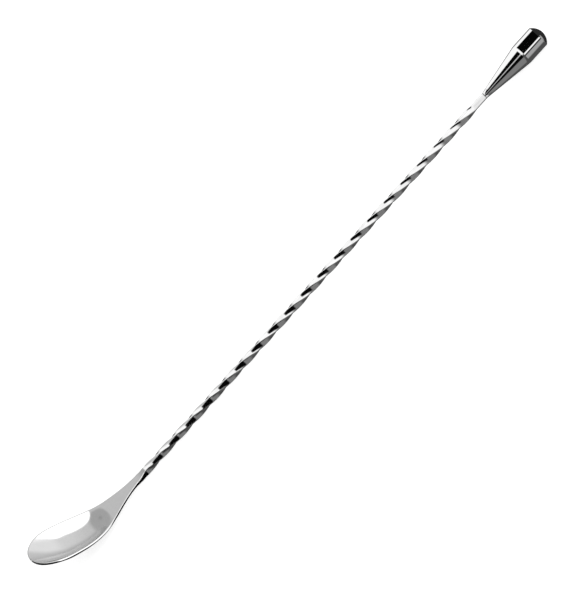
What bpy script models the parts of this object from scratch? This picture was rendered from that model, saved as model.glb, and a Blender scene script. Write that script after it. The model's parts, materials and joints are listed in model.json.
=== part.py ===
"""Bar spoon: a pressed bowl and a turned teardrop weight, brazed to the two ends of a twisted square bar.

The pieces are modelled along the stem's own axis, which is X: x = 0 at the bowl's tip, growing towards the
weight, with z = 0 on the axis and the bowl's hollow facing +Z. An empty then lays the whole spoon down, so that
the bowl's back and the weight both touch z = 0. Everything is in metres.
"""

import math

import bmesh
import bpy
from mathutils import Matrix, Vector

MM = 0.001

# Whole spoon: 305 mm overall, because the edge at the bowl's tip leans out a little past x = 0
WEIGHT_END = 304.4 * MM
FIT_GAP = 0.05 * MM

# Stem: a 3 mm square bar with rounded corners
BAR_HALF = 1.5 * MM
BAR_CORNER = 0.42 * MM
STEM_START = 59.0 * MM
STEM_END = 268.5 * MM
TWIST_QUARTERS = 19.55
TWIST_EASE = 2.0 * MM
TWIST_MARGIN = 0.4 * MM
TWIST_MARGIN_WEIGHT = 5.6 * MM
STATIONS_PER_QUARTER = 8

# Joints: a turned spigot in a blind socket, with a ring of brazing metal where the two pieces meet
RING_LENGTH = 0.4 * MM
SPIGOT_RADIUS_BOWL = 0.75 * MM
SPIGOT_LENGTH_BOWL = 2.4 * MM
SPIGOT_RADIUS_WEIGHT = 1.1 * MM
SPIGOT_LENGTH_WEIGHT = 14.0 * MM
SOCKET_SLACK = 0.1 * MM

# Weight: dome, cylinder and cone
WEIGHT_RADIUS = 5.0 * MM
DOME_HEIGHT = 2.55 * MM
DOME_EDGE = 0.15 * MM
CYLINDER_LENGTH = 10.2 * MM
CONE_CORNER = 1.0 * MM

# Bowl and neck
BOWL_HALF_WIDTH = 11.4 * MM
WIDEST_X = 13.5 * MM
TIP_BLEND_X = 8.0 * MM
TIP_BLEND_LENGTH = 11.0 * MM
FLARE_POWER = 1.18
FLARE_LATENESS = 1.08
DISH_DEPTH = 6.5 * MM
DISH_END_X = 36.5 * MM
DISH_HEEL_POWER = 5.0
RIM_TIP_Z = 14.4 * MM
RIM_RISE = 0.85
SHEET = 1.15 * MM
LAND_Z = 0.95 * MM
LAND_START_X = 38.5 * MM
LAND_END_X = 53.5 * MM
NECK_FLARE_X = 47.5 * MM
NECK_THICKENING = 2.2
NECK_WIDENING = 0.5 * MM
NECK_WIDENING_RUN = 4.3 * MM
UPRIGHT_FROM_X = 44.0 * MM

# How finely bowl and neck are drawn: the heel, between neck and widest point, gets the closest ribs
HEEL_START_X = 39.5 * MM
NECK_RIBS = 13
HEEL_RIBS = 12
TIP_RIBS = 10
RIB_STEPS = 5


def clear_scene():
    for old in list(bpy.data.objects):
        bpy.data.objects.remove(old, do_unlink=True)


def steel(name, value, roughness):
    material = bpy.data.materials.new(name)
    material.use_nodes = True
    shader = material.node_tree.nodes["Principled BSDF"]
    shader.inputs["Base Color"].default_value = (value, value, value, 1.0)
    shader.inputs["Metallic"].default_value = 1.0
    shader.inputs["Roughness"].default_value = roughness
    return material


def ease(t):
    """Smooth 0 to 1 step, with no slope and no curvature at either end."""
    t = min(max(t, 0.0), 1.0)
    return t**3 * (t * (6.0 * t - 15.0) + 10.0)


def add_piece(name, points, faces, material, parent):
    mesh = bpy.data.meshes.new(name)
    mesh.from_pydata(points, [], faces)
    shape = bmesh.new()
    shape.from_mesh(mesh)
    bmesh.ops.remove_doubles(shape, verts=shape.verts, dist=0.0005 * MM)
    bmesh.ops.recalc_face_normals(shape, faces=shape.faces)
    shape.to_mesh(mesh)
    shape.free()
    mesh.materials.append(material)
    mesh.shade_smooth()
    mesh.set_sharp_from_angle(angle=math.radians(35))
    piece = bpy.data.objects.new(name, mesh)
    bpy.context.collection.objects.link(piece)
    piece.parent = parent
    return piece


def loft(rings, closed=False):
    """Skin a row of equal rings. An open row is capped, a closed row joins its last ring to its first."""
    count = len(rings[0])
    points = [point for ring in rings for point in ring]
    last = len(rings) if closed else len(rings) - 1
    faces = []
    for row in range(last):
        here = row * count
        there = (row + 1) % len(rings) * count
        for column in range(count):
            beside = (column + 1) % count
            faces.append((here + column, here + beside, there + beside, there + column))
    if not closed:
        faces.append(tuple(range(count)))
        faces.append(tuple(range(len(points) - count, len(points))))
    return points, faces


def bar_radius(angle):
    """Distance from the axis to the bar's surface, at an angle measured from the middle of one flat."""
    angle = abs((angle + math.pi / 4) % (math.pi / 2) - math.pi / 4)
    centre = BAR_HALF - BAR_CORNER
    if angle < math.atan2(centre, BAR_HALF):
        return BAR_HALF / math.cos(angle)
    spread = BAR_CORNER**2 - centre**2 * (1.0 - math.sin(2.0 * angle))
    return centre * (math.cos(angle) + math.sin(angle)) + math.sqrt(spread)


def bar_angles(on_flat):
    """Angles of a section's points: three on each rounded corner, and on_flat more between corners."""
    tangent = math.atan2(BAR_HALF - BAR_CORNER, BAR_HALF)
    corner = [tangent, math.pi / 4, math.pi / 2 - tangent]
    flat = [math.pi / 2 - tangent + 2.0 * tangent * step / (on_flat + 1) for step in range(1, on_flat + 1)]
    return [angle + side * math.pi / 2 for side in range(4) for angle in corner + flat]


def ring_at(x, angles, turn, radius_at):
    """One section across the axis, turned by a right-hand angle about +X."""
    ring = []
    for angle in angles:
        radius = radius_at(angle)
        ring.append((x, radius * math.cos(angle + turn), radius * math.sin(angle + turn)))
    return ring


def round_ring(x, angles, turn, radius):
    return ring_at(x, angles, turn, lambda angle: radius)


# ---------------------------------------------------------------- stem

TWIST_START = STEM_START + TWIST_MARGIN
TWIST_END = STEM_END - TWIST_MARGIN_WEIGHT
TWIST_ANGLE = TWIST_QUARTERS * math.pi / 2


def twist_at(x):
    """Right-hand twist of the bar: a constant rate, eased in and out over a short run at each end."""
    run = TWIST_END - TWIST_START
    rate = TWIST_ANGLE / (run - TWIST_EASE)
    along = min(max(x - TWIST_START, 0.0), run)
    if along < TWIST_EASE:
        return rate * along**2 / (2.0 * TWIST_EASE)
    if along > run - TWIST_EASE:
        return TWIST_ANGLE - rate * (run - along) ** 2 / (2.0 * TWIST_EASE)
    return rate * (along - TWIST_EASE / 2.0)


def twisted_stem(material, parent):
    angles = bar_angles(on_flat=0)
    steps = round(TWIST_QUARTERS * STATIONS_PER_QUARTER)
    stations = [TWIST_START + (TWIST_END - TWIST_START) * step / steps for step in range(steps + 1)]
    stations = [STEM_START] + stations + [STEM_END]
    spigot_bowl = STEM_START - SPIGOT_LENGTH_BOWL
    spigot_weight = STEM_END + SPIGOT_LENGTH_WEIGHT
    rings = [round_ring(spigot_bowl, angles, 0.0, SPIGOT_RADIUS_BOWL)]
    rings.append(round_ring(STEM_START, angles, 0.0, SPIGOT_RADIUS_BOWL))
    rings += [ring_at(x, angles, twist_at(x), bar_radius) for x in stations]
    rings.append(round_ring(STEM_END, angles, TWIST_ANGLE, SPIGOT_RADIUS_WEIGHT))
    rings.append(round_ring(spigot_weight, angles, TWIST_ANGLE, SPIGOT_RADIUS_WEIGHT))
    return add_piece("twisted_stem", *loft(rings), material, parent)


def braze_ring(name, start, turn, spigot_radius, material, parent):
    """A thin washer of brazing metal, square outside like the bar, round inside where the spigot passes."""
    angles = bar_angles(on_flat=1)
    end = start + RING_LENGTH - 2.0 * FIT_GAP
    inner = spigot_radius + SOCKET_SLACK
    rings = [
        round_ring(start, angles, turn, inner),
        ring_at(start, angles, turn, bar_radius),
        ring_at(end, angles, turn, bar_radius),
        round_ring(end, angles, turn, inner),
    ]
    return add_piece(name, *loft(rings, closed=True), material, parent)


# ---------------------------------------------------------------- weight

NOSE_X = STEM_END + RING_LENGTH
DOME_X = WEIGHT_END - DOME_HEIGHT
CYLINDER_X = DOME_X - CYLINDER_LENGTH
CONE_RATE = (WEIGHT_RADIUS - BAR_HALF) / (CYLINDER_X - NOSE_X)


def dome_ring_sizes(steps=6):
    """(x, radius) of the dome's rings, from next to the pole down to the crisp edge above the cylinder."""
    edge_radius = WEIGHT_RADIUS - DOME_EDGE
    height = DOME_HEIGHT - DOME_EDGE
    sphere = (edge_radius**2 + height**2) / (2.0 * height)
    half_angle = math.asin(edge_radius / sphere)
    sizes = []
    for step in range(1, steps + 1):
        angle = half_angle * step / steps
        sizes.append((WEIGHT_END - sphere * (1.0 - math.cos(angle)), sphere * math.sin(angle)))
    return sizes


def teardrop_weight(material, parent):
    angles = bar_angles(on_flat=5)
    rings = [round_ring(x, angles, TWIST_ANGLE, radius) for x, radius in dome_ring_sizes()]
    rings.append(round_ring(DOME_X, angles, TWIST_ANGLE, WEIGHT_RADIUS))
    corner_drop = CONE_CORNER * CONE_RATE
    rings.append(round_ring(CYLINDER_X + CONE_CORNER, angles, TWIST_ANGLE, WEIGHT_RADIUS))
    rings.append(round_ring(CYLINDER_X, angles, TWIST_ANGLE, WEIGHT_RADIUS - corner_drop / 4.0))
    rings.append(round_ring(CYLINDER_X - CONE_CORNER, angles, TWIST_ANGLE, WEIGHT_RADIUS - corner_drop))

    # Towards the nose the bar's corners come out of the cone, so a section is the larger of the two shapes.
    corner_out = (bar_radius(math.pi / 4) - BAR_HALF) / CONE_RATE
    for share in (1.0, 0.75, 0.5, 0.3, 0.15, 0.05, 0.0):
        x = NOSE_X + corner_out * share
        cone = BAR_HALF + CONE_RATE * (x - NOSE_X)
        rings.append(ring_at(x, angles, TWIST_ANGLE, lambda angle: max(cone, bar_radius(angle))))

    socket_radius = SPIGOT_RADIUS_WEIGHT + SOCKET_SLACK
    socket_end = STEM_END + SPIGOT_LENGTH_WEIGHT + SOCKET_SLACK
    rings.append(round_ring(NOSE_X, angles, TWIST_ANGLE, socket_radius))
    rings.append(round_ring(socket_end, angles, TWIST_ANGLE, socket_radius))
    return add_piece("teardrop_weight", *loft(rings), material, parent)


# ---------------------------------------------------------------- bowl

NECK_X = STEM_START - RING_LENGTH


def half_width(x):
    """Half the width of bowl and neck in plan: an elliptical tip that blends into a bell-shaped flare."""
    tip = BOWL_HALF_WIDTH * math.sqrt(max(1.0 - (1.0 - x / WIDEST_X) ** 2, 0.0))
    neck = BAR_HALF + NECK_WIDENING * ease((NECK_X - x) / NECK_WIDENING_RUN)
    along = abs(x - WIDEST_X) / (NECK_X - WIDEST_X)
    bell = ((1.0 + math.cos(math.pi * along**FLARE_LATENESS)) / 2.0) ** FLARE_POWER
    flare = neck + (BOWL_HALF_WIDTH - neck) * bell
    return tip + (flare - tip) * ease((x - TIP_BLEND_X) / TIP_BLEND_LENGTH)


def outward_at(x):
    """Unit normal of the outline in plan, at the edge beside x."""
    if x < TIP_BLEND_X:
        return Vector(((x - WIDEST_X) / WIDEST_X**2, half_width(x) / BOWL_HALF_WIDTH**2, 0.0)).normalized()
    if x >= NECK_X:
        return Vector((0.0, 1.0, 0.0))
    step = 0.01 * MM
    slope = (half_width(x + step) - half_width(x - step)) / (2.0 * step)
    return Vector((-slope, 1.0, 0.0)).normalized()


def rim_height(x):
    """Side view of the rim: level along the neck's land, then a cosine rise that flattens towards the tip."""
    if x > LAND_END_X:
        return LAND_Z + (BAR_HALF - LAND_Z) * ((x - LAND_END_X) / (NECK_X - LAND_END_X)) ** 2
    turn = RIM_RISE * math.pi * max(1.0 - x / LAND_START_X, 0.0)
    share = (1.0 - math.cos(turn)) / (1.0 - math.cos(RIM_RISE * math.pi))
    return LAND_Z + (RIM_TIP_Z - LAND_Z) * share


def dish(x, y):
    """Depth of the hollow below the rim: a parabola across, full at the tip and easing out at the heel."""
    if x > DISH_END_X:
        return 0.0
    along = x / DISH_END_X
    heel = (1.0 + math.cos(math.pi * along**DISH_HEEL_POWER)) / 2.0
    return DISH_DEPTH * heel * (half_width(x) ** 2 - y**2) / BOWL_HALF_WIDTH**2


def top_point(x, y):
    return Vector((x, y, rim_height(x) - dish(x, y)))


def up_at(x, y):
    """Unit normal of the upper surface. The neck is drawn straight up and down."""
    if x > UPRIGHT_FROM_X:
        return Vector((0.0, 0.0, 1.0))
    step = 0.01 * MM
    along = top_point(x + step, y) - top_point(x - step, y)
    across = top_point(x, y + step) - top_point(x, y - step)
    return along.cross(across).normalized()


def thickness(x):
    if x < NECK_FLARE_X:
        return SHEET
    along = (x - NECK_FLARE_X) / (NECK_X - NECK_FLARE_X)
    return SHEET + (2.0 * BAR_HALF - SHEET) * along**NECK_THICKENING


def rib(spine_x, edge_x):
    """Half a section: over the top from the spine to the edge, round the edge, and back underneath."""
    edge_y = half_width(edge_x)
    outward = outward_at(edge_x)
    up = up_at(edge_x, edge_y)
    out = (outward - up * outward.dot(up)).normalized()
    edge = top_point(edge_x, edge_y)
    inset = edge - out * BAR_CORNER
    flats = []
    for step in range(RIB_STEPS + 1):
        share = 1.0 - (1.0 - step / RIB_STEPS) ** 1.3
        flats.append((spine_x + (inset.x - spine_x) * share, inset.y * share))
    points = [top_point(x, y) for x, y in flats]
    thick = thickness(edge_x)
    for centre_drop, start in ((BAR_CORNER, 90), (thick - BAR_CORNER, 0)):
        centre = inset - up * centre_drop
        for turn in (30, 60, 90) if start else (0, 30, 60):
            angle = math.radians(start - turn)
            points.append(centre + out * (BAR_CORNER * math.cos(angle)) + up * (BAR_CORNER * math.sin(angle)))
    points += [top_point(x, y) - up_at(x, y) * thickness(x) for x, y in reversed(flats)]
    return points


def bowl_ribs():
    """Ribs of the +Y half, from the neck's joint face, along the side and fanning round the tip."""
    ribs = []
    for step in range(NECK_RIBS):
        x = NECK_X + (HEEL_START_X - NECK_X) * step / NECK_RIBS
        ribs.append(rib(x, x))
    for step in range(HEEL_RIBS):
        x = HEEL_START_X + (WIDEST_X - HEEL_START_X) * step / HEEL_RIBS
        ribs.append(rib(x, x))
    for step in range(TIP_RIBS + 1):
        ribs.append(rib(WIDEST_X, WIDEST_X * (1.0 - math.sin(math.pi / 2 * step / TIP_RIBS))))
    return ribs


def spoon_bowl(material, parent):
    ribs = bowl_ribs()
    count = len(ribs[0])
    points = []
    faces = []
    for side in (1.0, -1.0):
        base = len(points)
        points += [(p.x, p.y * side, p.z) for half in ribs for p in half]
        for row in range(len(ribs) - 1):
            for column in range(count - 1):
                here = base + row * count + column
                faces.append((here, here + 1, here + count + 1, here + count))
    joint_face = list(range(count)) + [len(ribs) * count + column for column in reversed(range(1, count - 1))]
    faces.append(tuple(joint_face))
    piece = add_piece("spoon_bowl", points, faces, material, parent)

    bpy.ops.mesh.primitive_cylinder_add(
        vertices=16, radius=SPIGOT_RADIUS_BOWL + SOCKET_SLACK, depth=2.0 * (SPIGOT_LENGTH_BOWL + SOCKET_SLACK)
    )
    cutter = bpy.context.active_object
    cutter.name = "socket_cutter"
    cutter.data.transform(Matrix.Rotation(math.pi / 2, 4, "Y"))
    cutter.location = (STEM_START, 0.0, 0.0)
    cutter.parent = parent
    cutter.hide_render = True
    cutter.display_type = "WIRE"
    socket = piece.modifiers.new("stem_socket", "BOOLEAN")
    socket.operation = "DIFFERENCE"
    socket.object = cutter
    return piece


# ---------------------------------------------------------------- laying it down


def lowest(piece, lift):
    """Lowest point of a piece once the weighted end is swung up by the lift angle."""
    return min(v.co.z * math.cos(lift) + v.co.x * math.sin(lift) for v in piece.data.vertices)


def resting_lift(bowl, weight):
    """The angle at which the bowl's back and the weight stand on one level surface, found by halving."""
    low, high = 0.0, math.radians(5)
    for _ in range(40):
        lift = (low + high) / 2.0
        if lowest(weight, lift) < lowest(bowl, lift):
            low = lift
        else:
            high = lift
    return (low + high) / 2.0


def lay_down(frame, pieces, lift):
    """Turn the spoon to rest, with the origin under the middle of its bounding box."""
    turn = Matrix.Rotation(-lift, 4, "Y")
    corners = [turn @ v.co for piece in pieces for v in piece.data.vertices]
    middle = (min(p.x for p in corners) + max(p.x for p in corners)) / 2.0
    frame.matrix_world = Matrix.Translation((-middle, 0.0, -min(p.z for p in corners))) @ turn


def main():
    clear_scene()
    frame = bpy.data.objects.new("spoon_axis", None)
    bpy.context.collection.objects.link(frame)
    bowl_steel = steel("bowl_steel", 0.80, 0.10)
    stem_steel = steel("stem_steel", 0.76, 0.13)
    weight_steel = steel("weight_steel", 0.78, 0.08)
    braze = steel("braze_metal", 0.72, 0.18)

    bowl = spoon_bowl(bowl_steel, frame)
    stem = twisted_stem(stem_steel, frame)
    weight = teardrop_weight(weight_steel, frame)
    bowl_joint = NECK_X + FIT_GAP
    weight_joint = STEM_END + FIT_GAP
    rings = [
        braze_ring("bowl_joint_braze", bowl_joint, 0.0, SPIGOT_RADIUS_BOWL, braze, frame),
        braze_ring("weight_joint_braze", weight_joint, TWIST_ANGLE, SPIGOT_RADIUS_WEIGHT, braze, frame),
    ]
    lay_down(frame, [bowl, stem, weight] + rings, resting_lift(bowl, weight))


main()
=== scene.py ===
import json
import math

import bmesh
import bpy
from mathutils import Matrix, Vector


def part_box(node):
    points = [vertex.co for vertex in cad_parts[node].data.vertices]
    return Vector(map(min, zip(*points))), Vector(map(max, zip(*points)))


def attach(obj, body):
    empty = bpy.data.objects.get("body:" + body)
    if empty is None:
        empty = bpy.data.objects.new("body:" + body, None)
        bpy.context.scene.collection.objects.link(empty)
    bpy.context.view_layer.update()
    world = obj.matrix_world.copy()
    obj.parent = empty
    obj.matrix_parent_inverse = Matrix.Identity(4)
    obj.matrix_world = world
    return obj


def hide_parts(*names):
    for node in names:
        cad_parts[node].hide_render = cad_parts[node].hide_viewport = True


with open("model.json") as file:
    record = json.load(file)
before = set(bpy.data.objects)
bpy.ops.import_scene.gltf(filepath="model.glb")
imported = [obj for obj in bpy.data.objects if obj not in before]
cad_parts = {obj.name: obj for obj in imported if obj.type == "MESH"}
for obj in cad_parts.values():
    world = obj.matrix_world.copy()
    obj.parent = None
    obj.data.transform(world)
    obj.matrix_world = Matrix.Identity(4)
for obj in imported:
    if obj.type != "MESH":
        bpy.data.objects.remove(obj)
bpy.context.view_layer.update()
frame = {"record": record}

MM = 0.001

# The CAD's own dimensions, in the stem's frame: x = 0 at the bowl's tip, z = 0 on the stem's axis
WEIGHT_END = 304.4 * MM
BAR_HALF = 1.5 * MM
BAR_CORNER = 0.42 * MM
STEM_START = 59.0 * MM
STEM_END = 268.5 * MM
TWIST_QUARTERS = 19.55
TWIST_EASE = 2.0 * MM
TWIST_MARGIN = 0.4 * MM
TWIST_MARGIN_WEIGHT = 5.6 * MM
RING_LENGTH = 0.4 * MM
WEIGHT_RADIUS = 5.0 * MM
DOME_HEIGHT = 2.55 * MM
DOME_EDGE = 0.15 * MM
CYLINDER_LENGTH = 10.2 * MM
CONE_CORNER = 1.0 * MM
BOWL_HALF_WIDTH = 11.4 * MM
WIDEST_X = 13.5 * MM
TIP_BLEND_X = 8.0 * MM
TIP_BLEND_LENGTH = 11.0 * MM
FLARE_POWER = 1.18
FLARE_LATENESS = 1.08
DISH_DEPTH = 6.5 * MM
DISH_END_X = 36.5 * MM
DISH_HEEL_POWER = 5.0
RIM_TIP_Z = 14.4 * MM
RIM_RISE = 0.85
SHEET = 1.15 * MM
LAND_Z = 0.95 * MM
LAND_START_X = 38.5 * MM
LAND_END_X = 53.5 * MM
NECK_FLARE_X = 47.5 * MM
NECK_THICKENING = 2.2
NECK_WIDENING = 0.5 * MM
NECK_WIDENING_RUN = 4.3 * MM
UPRIGHT_FROM_X = 44.0 * MM

NECK_X = STEM_START - RING_LENGTH
NOSE_X = STEM_END + RING_LENGTH
TWIST_START = STEM_START + TWIST_MARGIN
TWIST_END = STEM_END - TWIST_MARGIN_WEIGHT
TWIST_ANGLE = TWIST_QUARTERS * math.pi / 2
DOME_X = WEIGHT_END - DOME_HEIGHT
CYLINDER_X = DOME_X - CYLINDER_LENGTH
CONE_RATE = (WEIGHT_RADIUS - BAR_HALF) / (CYLINDER_X - NOSE_X)


def ease(t):
    t = min(max(t, 0.0), 1.0)
    return t**3 * (t * (6.0 * t - 15.0) + 10.0)


# ---------------------------------------------------------------- meshes, as in the CAD but drawn much finer


def add_piece(name, points, faces, sharp=40):
    mesh = bpy.data.meshes.new(name)
    mesh.from_pydata(points, [], faces)
    shape = bmesh.new()
    shape.from_mesh(mesh)
    bmesh.ops.remove_doubles(shape, verts=shape.verts, dist=0.0004 * MM)
    bmesh.ops.recalc_face_normals(shape, faces=shape.faces)
    shape.to_mesh(mesh)
    shape.free()
    mesh.shade_smooth()
    mesh.set_sharp_from_angle(angle=math.radians(sharp))
    piece = bpy.data.objects.new(name, mesh)
    bpy.context.scene.collection.objects.link(piece)
    return piece


def loft(rings, closed=False):
    count = len(rings[0])
    points = [point for ring in rings for point in ring]
    last = len(rings) if closed else len(rings) - 1
    faces = []
    for row in range(last):
        here = row * count
        there = (row + 1) % len(rings) * count
        for column in range(count):
            beside = (column + 1) % count
            faces.append((here + column, here + beside, there + beside, there + column))
    if not closed:
        faces.append(tuple(range(count)))
        faces.append(tuple(range(len(points) - count, len(points))))
    return points, faces


def bar_radius(angle):
    angle = abs((angle + math.pi / 4) % (math.pi / 2) - math.pi / 4)
    centre = BAR_HALF - BAR_CORNER
    if angle < math.atan2(centre, BAR_HALF):
        return BAR_HALF / math.cos(angle)
    spread = BAR_CORNER**2 - centre**2 * (1.0 - math.sin(2.0 * angle))
    return centre * (math.cos(angle) + math.sin(angle)) + math.sqrt(max(spread, 0.0))


def bar_angles(on_corner, on_flat):
    tangent = math.atan2(BAR_HALF - BAR_CORNER, BAR_HALF)
    arc = math.pi / 2 - 2.0 * tangent
    corner = [tangent + arc * step / (on_corner - 1) for step in range(on_corner)]
    flat = [math.pi / 2 - tangent + 2.0 * tangent * step / (on_flat + 1) for step in range(1, on_flat + 1)]
    return [angle + side * math.pi / 2 for side in range(4) for angle in corner + flat]


def ring_at(x, angles, turn, radius_at):
    ring = []
    for angle in angles:
        radius = radius_at(angle)
        ring.append((x, radius * math.cos(angle + turn), radius * math.sin(angle + turn)))
    return ring


def twist_at(x):
    run = TWIST_END - TWIST_START
    rate = TWIST_ANGLE / (run - TWIST_EASE)
    along = min(max(x - TWIST_START, 0.0), run)
    if along < TWIST_EASE:
        return rate * along**2 / (2.0 * TWIST_EASE)
    if along > run - TWIST_EASE:
        return TWIST_ANGLE - rate * (run - along) ** 2 / (2.0 * TWIST_EASE)
    return rate * (along - TWIST_EASE / 2.0)


def make_stem():
    angles = bar_angles(on_corner=9, on_flat=7)
    steps = round(TWIST_QUARTERS * 40)
    stations = [TWIST_START + (TWIST_END - TWIST_START) * step / steps for step in range(steps + 1)]
    stations = [STEM_START] + stations + [STEM_END]
    return add_piece("stem_polished", *loft([ring_at(x, angles, twist_at(x), bar_radius) for x in stations]))


def make_ring(name, start, end, turn):
    angles = bar_angles(on_corner=9, on_flat=7)
    bulge = 0.02 * MM
    sections = [start + (end - start) * step / 6 for step in range(7)]
    rings = []
    for x in sections:
        swell = bulge * math.sin(math.pi * (x - start) / (end - start))
        rings.append(ring_at(x, angles, turn, lambda angle: bar_radius(angle) + swell))
    return add_piece(name, *loft(rings))


def weight_profile():
    """(x, radius) of the turned outside, from the dome's pole to the nose."""
    edge_radius = WEIGHT_RADIUS - DOME_EDGE
    height = DOME_HEIGHT - DOME_EDGE
    sphere = (edge_radius**2 + height**2) / (2.0 * height)
    half_angle = math.asin(edge_radius / sphere)
    profile = []
    for step in range(1, 41):
        angle = half_angle * step / 40
        profile.append((WEIGHT_END - sphere * (1.0 - math.cos(angle)), sphere * math.sin(angle)))
    last_x = profile[-1][0]
    for step in range(1, 7):
        angle = math.pi / 2 * step / 6
        x = last_x + (DOME_X - last_x) * (1.0 - math.cos(angle))
        profile.append((x, edge_radius + DOME_EDGE * math.sin(angle)))
    for step in range(1, 13):
        profile.append((DOME_X + (CYLINDER_X + CONE_CORNER - DOME_X) * step / 12, WEIGHT_RADIUS))
    for step in range(1, 17):
        share = step / 16
        x = CYLINDER_X + CONE_CORNER - 2.0 * CONE_CORNER * share
        profile.append((x, WEIGHT_RADIUS - CONE_CORNER * CONE_RATE * share**2))
    return profile


def make_weight():
    angles = bar_angles(on_corner=9, on_flat=15)
    rings = [ring_at(x, angles, TWIST_ANGLE, lambda angle: radius) for x, radius in weight_profile()]
    last_x = CYLINDER_X - CONE_CORNER
    for step in range(1, 97):
        x = last_x + (NOSE_X - last_x) * step / 96
        cone = BAR_HALF + CONE_RATE * (x - NOSE_X)
        rings.append(ring_at(x, angles, TWIST_ANGLE, lambda angle: max(cone, bar_radius(angle))))
    return add_piece("weight_polished", *loft(rings))


def half_width(x):
    tip = BOWL_HALF_WIDTH * math.sqrt(max(1.0 - (1.0 - x / WIDEST_X) ** 2, 0.0))
    neck = BAR_HALF + NECK_WIDENING * ease((NECK_X - x) / NECK_WIDENING_RUN)
    along = abs(x - WIDEST_X) / (NECK_X - WIDEST_X)
    bell = ((1.0 + math.cos(math.pi * along**FLARE_LATENESS)) / 2.0) ** FLARE_POWER
    flare = neck + (BOWL_HALF_WIDTH - neck) * bell
    return tip + (flare - tip) * ease((x - TIP_BLEND_X) / TIP_BLEND_LENGTH)


def outward_at(x):
    if x < TIP_BLEND_X:
        return Vector(((x - WIDEST_X) / WIDEST_X**2, half_width(x) / BOWL_HALF_WIDTH**2, 0.0)).normalized()
    if x >= NECK_X:
        return Vector((0.0, 1.0, 0.0))
    step = 0.01 * MM
    slope = (half_width(x + step) - half_width(x - step)) / (2.0 * step)
    return Vector((-slope, 1.0, 0.0)).normalized()


def rim_height(x):
    if x > LAND_END_X:
        return LAND_Z + (BAR_HALF - LAND_Z) * ((x - LAND_END_X) / (NECK_X - LAND_END_X)) ** 2
    turn = RIM_RISE * math.pi * max(1.0 - x / LAND_START_X, 0.0)
    share = (1.0 - math.cos(turn)) / (1.0 - math.cos(RIM_RISE * math.pi))
    return LAND_Z + (RIM_TIP_Z - LAND_Z) * share


def dish(x, y):
    if x > DISH_END_X:
        return 0.0
    along = x / DISH_END_X
    heel = (1.0 + math.cos(math.pi * along**DISH_HEEL_POWER)) / 2.0
    return DISH_DEPTH * heel * (half_width(x) ** 2 - y**2) / BOWL_HALF_WIDTH**2


def top_point(x, y):
    return Vector((x, y, rim_height(x) - dish(x, y)))


def up_at(x, y):
    if x > UPRIGHT_FROM_X:
        return Vector((0.0, 0.0, 1.0))
    step = 0.01 * MM
    along = top_point(x + step, y) - top_point(x - step, y)
    across = top_point(x, y + step) - top_point(x, y - step)
    return along.cross(across).normalized()


def thickness(x):
    if x < NECK_FLARE_X:
        return SHEET
    along = (x - NECK_FLARE_X) / (NECK_X - NECK_FLARE_X)
    return SHEET + (2.0 * BAR_HALF - SHEET) * along**NECK_THICKENING


RIB_STEPS = 26
ROUND_STEPS = 7
NECK_RIBS = 120
TIP_RIBS = 60
RIM_CROWDING = 1.3


def rib(spine_x, edge_x):
    edge_y = half_width(edge_x)
    outward = outward_at(edge_x)
    up = up_at(edge_x, edge_y)
    out = (outward - up * outward.dot(up)).normalized()
    edge = top_point(edge_x, edge_y)
    inset = edge - out * BAR_CORNER
    flats = []
    for step in range(RIB_STEPS + 1):
        share = 1.0 - (1.0 - step / RIB_STEPS) ** RIM_CROWDING
        flats.append((spine_x + (inset.x - spine_x) * share, inset.y * share))
    points = [top_point(x, y) for x, y in flats]
    thick = thickness(edge_x)
    for centre_drop, start in ((BAR_CORNER, 90), (thick - BAR_CORNER, 0)):
        centre = inset - up * centre_drop
        first = 1 if start else 0
        for step in range(first, first + ROUND_STEPS):
            angle = math.radians(start - 90.0 * step / ROUND_STEPS)
            points.append(centre + out * (BAR_CORNER * math.cos(angle)) + up * (BAR_CORNER * math.sin(angle)))
    points += [top_point(x, y) - up_at(x, y) * thickness(x) for x, y in reversed(flats)]
    return points


def make_bowl():
    ribs = []
    for step in range(NECK_RIBS):
        x = NECK_X + (WIDEST_X - NECK_X) * step / NECK_RIBS
        ribs.append(rib(x, x))
    for step in range(TIP_RIBS + 1):
        ribs.append(rib(WIDEST_X, WIDEST_X * (1.0 - math.sin(math.pi / 2 * step / TIP_RIBS))))
    count = len(ribs[0])
    points = []
    faces = []
    for side in (1.0, -1.0):
        base = len(points)
        points += [(p.x, p.y * side, p.z) for half in ribs for p in half]
        for row in range(len(ribs) - 1):
            for column in range(count - 1):
                here = base + row * count + column
                faces.append((here, here + 1, here + count + 1, here + count))
    mirrored = [len(ribs) * count + column for column in reversed(range(1, count - 1))]
    faces.append(tuple(list(range(count)) + mirrored))
    return add_piece("bowl_polished", points, faces)


lift = -math.asin(frame["record"]["mounts"][0]["axis"][0])
bowl = make_bowl()
stem = make_stem()
weight = make_weight()
bowl_joint = make_ring("bowl_joint_bead", NECK_X, STEM_START, 0.0)
weight_joint = make_ring("weight_joint_bead", STEM_END, NOSE_X, TWIST_ANGLE)

turn = Matrix.Rotation(-lift, 4, "Y")
for piece in (bowl, stem, weight, bowl_joint, weight_joint):
    piece.data.transform(turn)
weight_high = max(v.co.x for v in weight.data.vertices)
weight_low = min(v.co.z for v in weight.data.vertices)
place = Matrix.Translation((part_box("teardrop_weight")[1].x - weight_high, 0.0, -weight_low))
for piece in (bowl, stem, weight, bowl_joint, weight_joint):
    piece.data.transform(place)


# ---------------------------------------------------------------- camera

C_TILT = math.radians(49.0)
ROLL = math.radians(47.93)
PIXEL = 0.4149 * MM
PICTURE_HEIGHT = 590
DISTANCE = 8.0
SENSOR = 36.0

stem_to_row = place @ turn
to_camera = (turn @ Vector((0.0, -math.sin(C_TILT), math.cos(C_TILT)))).normalized()
along = (turn @ Vector((1.0, 0.0, 0.0))).normalized()
aside = to_camera.cross(along).normalized()
right = along * math.cos(ROLL) - aside * math.sin(ROLL)
up = along * math.sin(ROLL) + aside * math.cos(ROLL)

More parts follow.
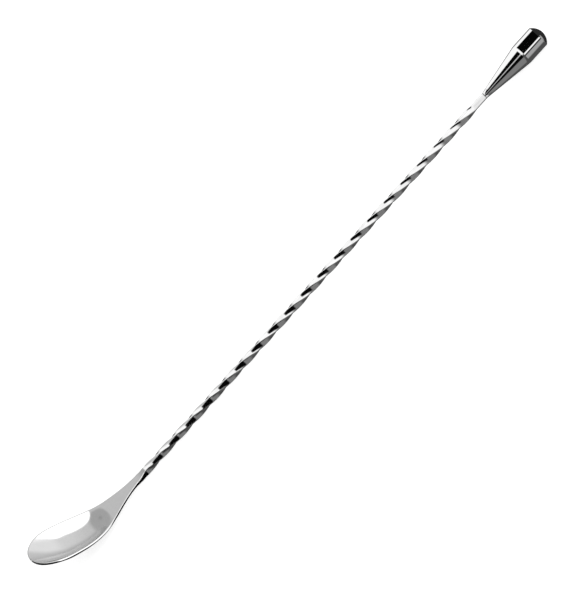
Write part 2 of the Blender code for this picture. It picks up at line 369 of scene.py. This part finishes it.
# The middle of the picture is a point above the stem's axis, on the plane through it that faces the camera.
TARGET_X = 152.5 * MM
TARGET_ASIDE = 5.3 * MM
target = stem_to_row @ Vector((TARGET_X, 0.0, 0.0)) + aside * TARGET_ASIDE

camera_data = bpy.data.cameras.new("camera")
camera_data.sensor_fit = "AUTO"
camera_data.sensor_width = SENSOR
camera_data.lens = SENSOR * DISTANCE / (PICTURE_HEIGHT * PIXEL)
camera_data.clip_start = 0.01
camera_data.clip_end = 50.0
camera = bpy.data.objects.new("camera", camera_data)
bpy.context.scene.collection.objects.link(camera)
view = Matrix((right, up, to_camera)).transposed().to_4x4()
camera.matrix_world = Matrix.Translation(target + to_camera * DISTANCE) @ view
bpy.context.scene.camera = camera

# ---------------------------------------------------------------- polished steel


def steel(name, grey, streaks, roughness, brushed, scratch_scale):
    """Polished steel with fine scratches, longest where scratch_scale is smallest, and cloudy patches."""
    material = bpy.data.materials.new(name)
    material.use_nodes = True
    nodes = material.node_tree.nodes
    links = material.node_tree.links
    shader = nodes["Principled BSDF"]
    shader.inputs["Metallic"].default_value = 1.0
    coords = nodes.new("ShaderNodeTexCoord")

    stretch = nodes.new("ShaderNodeMapping")
    stretch.inputs["Scale"].default_value = scratch_scale
    links.new(coords.outputs["Object"], stretch.inputs["Vector"])
    scratches = nodes.new("ShaderNodeTexNoise")
    scratches.inputs["Scale"].default_value = 1.0
    scratches.inputs["Detail"].default_value = 4.0
    scratches.inputs["Roughness"].default_value = 0.6
    links.new(stretch.outputs["Vector"], scratches.inputs["Vector"])

    clouds = nodes.new("ShaderNodeTexNoise")
    clouds.inputs["Scale"].default_value = 140.0
    clouds.inputs["Detail"].default_value = 3.0
    links.new(coords.outputs["Object"], clouds.inputs["Vector"])

    marks = nodes.new("ShaderNodeMix")
    marks.inputs["Factor"].default_value = 0.7
    links.new(clouds.outputs["Fac"], marks.inputs["A"])
    links.new(scratches.outputs["Fac"], marks.inputs["B"])
    tint = nodes.new("ShaderNodeMapRange")
    tint.inputs["From Min"].default_value = 0.3
    tint.inputs["From Max"].default_value = 0.7
    tint.inputs["To Min"].default_value = grey * (1.0 - streaks)
    tint.inputs["To Max"].default_value = grey * (1.0 + streaks)
    links.new(marks.outputs["Result"], tint.inputs["Value"])
    colour = nodes.new("ShaderNodeCombineColor")
    for channel in ("Red", "Green", "Blue"):
        links.new(tint.outputs["Result"], colour.inputs[channel])
    links.new(colour.outputs["Color"], shader.inputs["Base Color"])

    mixed = nodes.new("ShaderNodeMath")
    mixed.operation = "MULTIPLY_ADD"
    mixed.inputs[1].default_value = 0.5
    links.new(scratches.outputs["Fac"], mixed.inputs[0])
    links.new(clouds.outputs["Fac"], mixed.inputs[2])
    gloss = nodes.new("ShaderNodeMapRange")
    gloss.inputs["From Min"].default_value = 0.5
    gloss.inputs["From Max"].default_value = 1.0
    gloss.inputs["To Min"].default_value = roughness * 0.75
    gloss.inputs["To Max"].default_value = roughness * 1.3
    links.new(mixed.outputs["Value"], gloss.inputs["Value"])
    links.new(gloss.outputs["Result"], shader.inputs["Roughness"])

    bump = nodes.new("ShaderNodeBump")
    bump.inputs["Strength"].default_value = brushed
    bump.inputs["Distance"].default_value = 0.01 * MM
    links.new(scratches.outputs["Fac"], bump.inputs["Height"])
    links.new(bump.outputs["Normal"], shader.inputs["Normal"])
    return material


bowl_steel = steel(
    "bowl_mirror_steel", grey=0.78, streaks=0.05, roughness=0.09, brushed=0.02,
    scratch_scale=(900.0, 2200.0, 2200.0),
)
stem_steel = steel(
    "stem_mirror_steel", grey=0.77, streaks=0.16, roughness=0.08, brushed=0.02,
    scratch_scale=(220.0, 2200.0, 2200.0),
)
weight_steel = steel(
    "weight_mirror_steel", grey=0.78, streaks=0.02, roughness=0.03, brushed=0.003,
    scratch_scale=(4000.0, 300.0, 300.0),
)
joint_steel = steel(
    "joint_brazed_steel", grey=0.76, streaks=0.03, roughness=0.10, brushed=0.01,
    scratch_scale=(2500.0, 2500.0, 2500.0),
)

for piece, node, slot, material in (
    (bowl, "spoon_bowl", "bowl_steel", bowl_steel),
    (stem, "twisted_stem", "stem_steel", stem_steel),
    (weight, "teardrop_weight", "weight_steel", weight_steel),
    (bowl_joint, "bowl_joint_braze", "braze_metal", joint_steel),
    (weight_joint, "weight_joint_braze", "braze_metal", joint_steel),
):
    piece.data.materials.append(material)
    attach(piece, "root")
    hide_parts(node)


# ---------------------------------------------------------------- studio

# Three closed tubes of light, each mirrored by its own pieces only. Their cards, flags and window were placed
# to suit one viewing angle, so from other angles the steel can look oddly dark.
TENT_RADIUS = 0.35
TENT_SIDES = 64
AXIS_Z = 5.0 * MM
STEEL_REFLECTS = 0.78
BOWL_CENTRE_X = -0.12


def light_of(grey):
    """Brightness of a panel that polished steel shows as this grey, on a scale of 0 to 255."""
    share = grey / 255.0
    linear = share / 12.92 if share <= 0.04045 else ((share + 0.055) / 1.055) ** 2.4
    return linear / STEEL_REFLECTS


class Panels:
    """The light inside one tent. Round is degrees from straight up, growing away from the camera.
    Along is how far towards the weight from the tent's centre, divided by TENT_RADIUS."""

    def __init__(self, name, centre_x):
        self.material = bpy.data.materials.new(name)
        self.material.use_nodes = True
        self.nodes = self.material.node_tree.nodes
        self.links = self.material.node_tree.links
        self.nodes.clear()
        coords = self.nodes.new("ShaderNodeTexCoord")
        split = self.nodes.new("ShaderNodeSeparateXYZ")
        self.links.new(coords.outputs["Object"], split.inputs["Vector"])
        turned = self.maths("ARCTAN2", split.outputs["Y"], split.outputs["Z"])
        self.round = self.maths("MULTIPLY", turned, 180.0 / math.pi)
        self.along = self.maths("DIVIDE", self.maths("SUBTRACT", split.outputs["X"], centre_x), TENT_RADIUS)

    def maths(self, operation, *values):
        node = self.nodes.new("ShaderNodeMath")
        node.operation = operation
        for socket, value in zip(node.inputs, values):
            if isinstance(value, (int, float)):
                socket.default_value = value
            else:
                self.links.new(value, socket)
        return node.outputs["Value"]

    def step(self, value, low, high):
        """0 below low, 1 above high, smooth between; reversed where low is above high."""
        node = self.nodes.new("ShaderNodeMapRange")
        node.interpolation_type = "SMOOTHSTEP"
        node.clamp = True
        ends = (0.0, 1.0) if low < high else (1.0, 0.0)
        node.inputs["From Min"].default_value = min(low, high)
        node.inputs["From Max"].default_value = max(low, high)
        node.inputs["To Min"].default_value, node.inputs["To Max"].default_value = ends
        self.links.new(value, node.inputs["Value"])
        return node.outputs["Result"]

    def card(self, under, grey, start, end, soft=4.0):
        """The light with a card laid over it between two angles, its edges soft over so many degrees."""
        half = soft / 2.0
        opens = self.step(self.round, start - half, start + half)
        closes = self.step(self.round, end + half, end - half)
        return self.blend(under, light_of(grey), self.maths("MULTIPLY", opens, closes))

    def blend(self, first, second, share):
        node = self.nodes.new("ShaderNodeMix")
        node.data_type = "FLOAT"
        self.links.new(share, node.inputs["Factor"])
        for socket, value in ((node.inputs["A"], first), (node.inputs["B"], second)):
            if isinstance(value, (int, float)):
                socket.default_value = value
            else:
                self.links.new(value, socket)
        return node.outputs["Result"]

    def finish(self, brightness):
        glow = self.nodes.new("ShaderNodeEmission")
        self.links.new(brightness, glow.inputs["Strength"])
        clear = self.nodes.new("ShaderNodeBsdfTransparent")
        both = self.nodes.new("ShaderNodeAddShader")
        self.links.new(glow.outputs["Emission"], both.inputs[0])
        self.links.new(clear.outputs["BSDF"], both.inputs[1])
        output = self.nodes.new("ShaderNodeOutputMaterial")
        self.links.new(both.outputs["Shader"], output.inputs["Surface"])
        return self.material


def tent(name, pieces, material, radius, low_x, high_x):
    """A closed tube round the spoon that only these pieces mirror, and that neither camera nor floor sees."""
    count = TENT_SIDES
    points = []
    for x in (low_x, high_x):
        for step in range(count):
            angle = 2.0 * math.pi * step / count
            points.append((x, radius * math.sin(angle), radius * math.cos(angle)))
    faces = [(step, (step + 1) % count, count + (step + 1) % count, count + step) for step in range(count)]
    faces += [tuple(range(count)), tuple(range(count, 2 * count))]
    mesh = bpy.data.meshes.new(name)
    mesh.from_pydata(points, [], faces)
    mesh.materials.append(material)
    cloth = bpy.data.objects.new(name, mesh)
    cloth.location = (0.0, 0.0, AXIS_Z)
    bpy.context.scene.collection.objects.link(cloth)
    seen_by = bpy.data.collections.new(name + "_mirrored_by")
    for piece in pieces:
        seen_by.objects.link(piece)
    cloth.light_linking.receiver_collection = seen_by
    cloth.visible_camera = False
    cloth.visible_diffuse = False
    cloth.visible_shadow = False


# How grey polished steel looks where it mirrors each kind of card, on a scale of 0 to 255.
BLACK, DARK, DIM, MIDDLE, GREY, SOFT, PALE, WHITE = 5, 40, 75, 120, 160, 190, 220, 250
UNLIT = 0.002


# Where one zone of a tent gives way to the next, as values of along: where it starts to, and where it has.
STEM_ZONE_BOWL_END = (-0.25, -0.4)
WEIGHT_ZONE_CYLINDER = (0.35, 0.37)
WEIGHT_ZONE_CONE = (0.25, 0.2)
WEIGHT_ZONE_DOME = (0.65, 0.8)
BOWL_ZONE_TIP = (0.0, 1.45)
BOWL_ZONE_NECK = (0.0, -0.22)
BOWL_ZONE_BEYOND = (-0.03, -0.13)


def stem_panels():
    """White overhead, a black flag on the camera's side, and a dim room below."""
    p = Panels("stem_tent_panels", 0.0)
    room = p.card(light_of(DIM), MIDDLE, start=-150, end=-60, soft=30)
    room = p.card(room, WHITE, start=-60, end=90, soft=40)
    bowl_end = p.card(light_of(DARK), SOFT, start=-95, end=90, soft=40)
    base = p.blend(room, bowl_end, p.step(p.along, *STEM_ZONE_BOWL_END))
    # The flag leans along the spoon and widens towards the floor.
    lean, shift = -0.0016, 0.06
    widening, half_at_top = -0.0024, 0.16
    flag_middle = p.maths("MULTIPLY_ADD", p.round, lean, shift)
    flag_half = p.maths("MULTIPLY_ADD", p.round, widening, half_at_top)
    across = p.maths("DIVIDE", p.maths("ABSOLUTE", p.maths("ADD", p.along, flag_middle)), flag_half)
    upright = p.maths("MULTIPLY", p.step(p.round, 5.0, -5.0), p.step(p.round, -95.0, -85.0))
    flag = p.maths("MULTIPLY", p.step(across, 1.2, 0.9), upright)
    return p.finish(p.blend(base, UNLIT, flag))


def weight_panels():
    """Black flags with thin gaps of light between them, white beyond, and a dim room below."""
    p = Panels("weight_tent_panels", 0.0)
    cylinder = p.card(light_of(DIM), GREY, start=-125, end=-80, soft=20)
    cylinder = p.card(cylinder, WHITE, start=30, end=85, soft=30)
    cylinder = p.card(cylinder, BLACK, start=-85, end=40)
    cylinder = p.card(cylinder, WHITE, start=-72, end=-58)
    shoulder = p.card(light_of(DIM), WHITE, start=-55, end=90, soft=20)
    cone = p.card(light_of(DIM), MIDDLE, start=-150, end=-75, soft=20)
    cone = p.card(cone, WHITE, start=0, end=100, soft=30)
    cone = p.card(cone, BLACK, start=-80, end=7)
    cone = p.card(cone, SOFT, start=-46, end=-35)
    dome = p.card(light_of(DARK), GREY, start=-160, end=-90, soft=30)
    tube = p.blend(shoulder, cylinder, p.step(p.along, *WEIGHT_ZONE_CYLINDER))
    tube = p.blend(tube, cone, p.step(p.along, *WEIGHT_ZONE_CONE))
    return p.finish(p.blend(tube, dome, p.step(p.along, *WEIGHT_ZONE_DOME)))


def bowl_room(p, low, high):
    """Dark below, one grey round the sides, a paler one overhead, and white by the camera and the far rim."""
    room = p.card(light_of(DARK), low, start=-125, end=143, soft=10)
    room = p.card(room, high, start=-60, end=60, soft=40)
    room = p.card(room, WHITE, start=-110, end=-25, soft=40)
    return p.card(room, WHITE, start=122, end=138)


def bowl_panels():
    """A bright window on the camera's side, grey overhead, and black beyond the tip and by the near rim."""
    p = Panels("bowl_tent_panels", BOWL_CENTRE_X)
    heel = bowl_room(p, GREY, SOFT)
    tip = bowl_room(p, SOFT, PALE)
    neck = p.card(light_of(DARK), GREY, start=-60, end=135, soft=10)
    neck = p.card(neck, PALE, start=-57, end=-5, soft=10)
    beyond = p.card(light_of(BLACK), PALE, start=75, end=130, soft=20)
    base = p.blend(heel, tip, p.step(p.along, *BOWL_ZONE_TIP))
    base = p.blend(base, neck, p.step(p.along, *BOWL_ZONE_NECK))
    rim_side = p.maths("MULTIPLY", p.step(p.round, -43.0, -51.0), p.step(p.along, 0.95, 0.65))
    base = p.blend(base, UNLIT, rim_side)
    # Overhead and on the far side, the black beyond the tip starts this much further away.
    further = 0.42
    from_tip = p.maths("MULTIPLY_ADD", p.step(p.round, -45.0, 5.0), further, p.along)
    base = p.blend(base, beyond, p.step(from_tip, *BOWL_ZONE_BEYOND))
    # The window's upper edge drops as it goes towards the weight.
    drop = 16.0
    edge = p.maths("MULTIPLY_ADD", p.along, drop, p.round)
    window = p.maths("MULTIPLY", p.step(edge, 1.0, -5.0), p.step(p.round, -58.0, -50.0))
    window = p.maths("MULTIPLY", window, p.step(from_tip, *reversed(BOWL_ZONE_BEYOND)))
    window_light = light_of(WHITE) * 1.3
    return p.finish(p.blend(base, window_light, window))


tent("stem_tent", (stem,), stem_panels(), TENT_RADIUS, -1.2, 1.2)
tent("weight_tent", (weight, weight_joint), weight_panels(), TENT_RADIUS * 1.03, -1.3, 1.3)
tent("bowl_tent", (bowl, bowl_joint), bowl_panels(), TENT_RADIUS * 1.06, -1.6, 1.6)

ROOM_LIGHT = 0.6
FLOOR_REACH = 12.0
FLOOR_GLOW = 0.78

room = bpy.data.worlds.new("room")
room.use_nodes = True
room.node_tree.nodes["Background"].inputs["Color"].default_value = (1.0, 1.0, 1.0, 1.0)
room.node_tree.nodes["Background"].inputs["Strength"].default_value = ROOM_LIGHT
room.cycles_visibility.glossy = False
bpy.context.scene.world = room

floor_mesh = bpy.data.meshes.new("floor")
floor_signs = ((-1, -1), (1, -1), (1, 1), (-1, 1))
floor_corners = [(x * FLOOR_REACH, y * FLOOR_REACH, 0.0) for x, y in floor_signs]
floor_mesh.from_pydata(floor_corners, [], [(0, 1, 2, 3)])
floor = bpy.data.objects.new("floor", floor_mesh)
bpy.context.scene.collection.objects.link(floor)
floor.visible_glossy = False
floor.visible_shadow = False
pale = bpy.data.materials.new("pale_floor")
pale.use_nodes = True
pale_shader = pale.node_tree.nodes["Principled BSDF"]
pale_shader.inputs["Base Color"].default_value = (0.8, 0.8, 0.8, 1.0)
pale_shader.inputs["Roughness"].default_value = 0.9
pale_shader.inputs["Specular IOR Level"].default_value = 0.0
pale_shader.inputs["Emission Color"].default_value = (1.0, 1.0, 1.0, 1.0)
pale_shader.inputs["Emission Strength"].default_value = FLOOR_GLOW
floor_mesh.materials.append(pale)

scene = bpy.context.scene
scene.view_settings.view_transform = "Standard"
